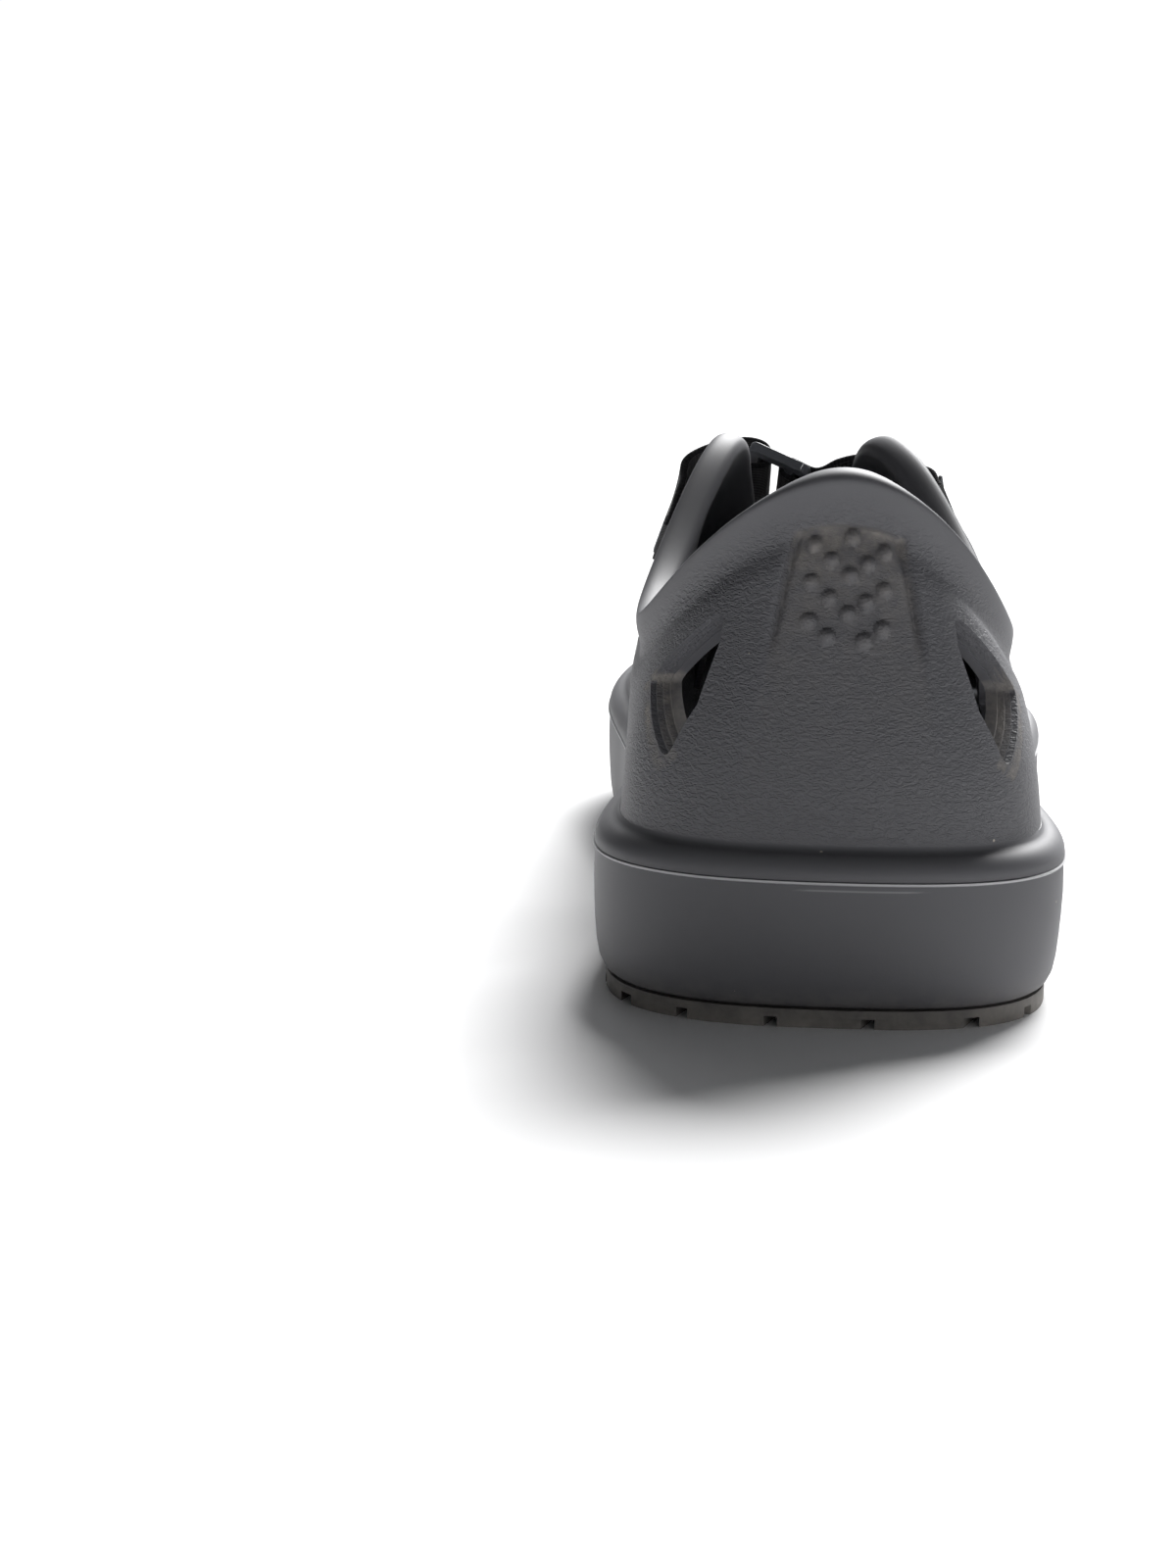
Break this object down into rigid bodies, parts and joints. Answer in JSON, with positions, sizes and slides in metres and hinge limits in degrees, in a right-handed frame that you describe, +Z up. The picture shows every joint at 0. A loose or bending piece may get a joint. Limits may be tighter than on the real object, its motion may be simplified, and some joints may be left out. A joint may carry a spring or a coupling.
{
  "type": "strapped foam clog",
  "caption": "Closed-back moulded foam clog for a right foot, with a cup sole, heel windows, a kick-off pad and a webbing instep strap in a ladder buckle.",
  "frame": {"origin": "middle of the sole's outline box, on the ground under the treads", "axes": "+X to the outer side of the right foot, +Y to the toe, +Z up"},
  "size_m": [0.103, 0.2956, 0.0973],
  "materials": {
    "moulded_foam": "moulded EVA foam with a fine leather grain, satin",
    "sole_foam": "smooth moulded EVA foam, satin",
    "footbed_foam": "matt open-skinned EVA foam",
    "footbed_textile": "knitted polyester cover, matt",
    "tread_rubber": "dusty moulded rubber",
    "webbing": "woven polyester webbing, 20 mm wide",
    "buckle_plastic": "moulded acetal, satin",
    "thread": "polyester sewing thread"
  },
  "bodies": {
    "clog": {"upper_shell": "moulded_foam", "midsole": "sole_foam", "footbed_foam": "footbed_foam", "footbed_cover": "footbed_textile", "heel_tread": "tread_rubber", "forefoot_tread": "tread_rubber", "instep_strap": "webbing", "medial_anchor_loop": "webbing", "strap_bar_tack": "thread", "loop_bar_tack": "thread"},
    "buckle": {"buckle_frame": "buckle_plastic", "strap_tail": "webbing", "tail_bar_tack": "thread"}
  },
  "joints": [
    {"name": "buckle_hinge", "type": "hinge", "parent": "clog", "child": "buckle", "pos_m": [-0.01825, 0.00052, 0.08846], "axis": [0, -0.891, 0.454], "range_deg": [0, 45]}
  ]
}
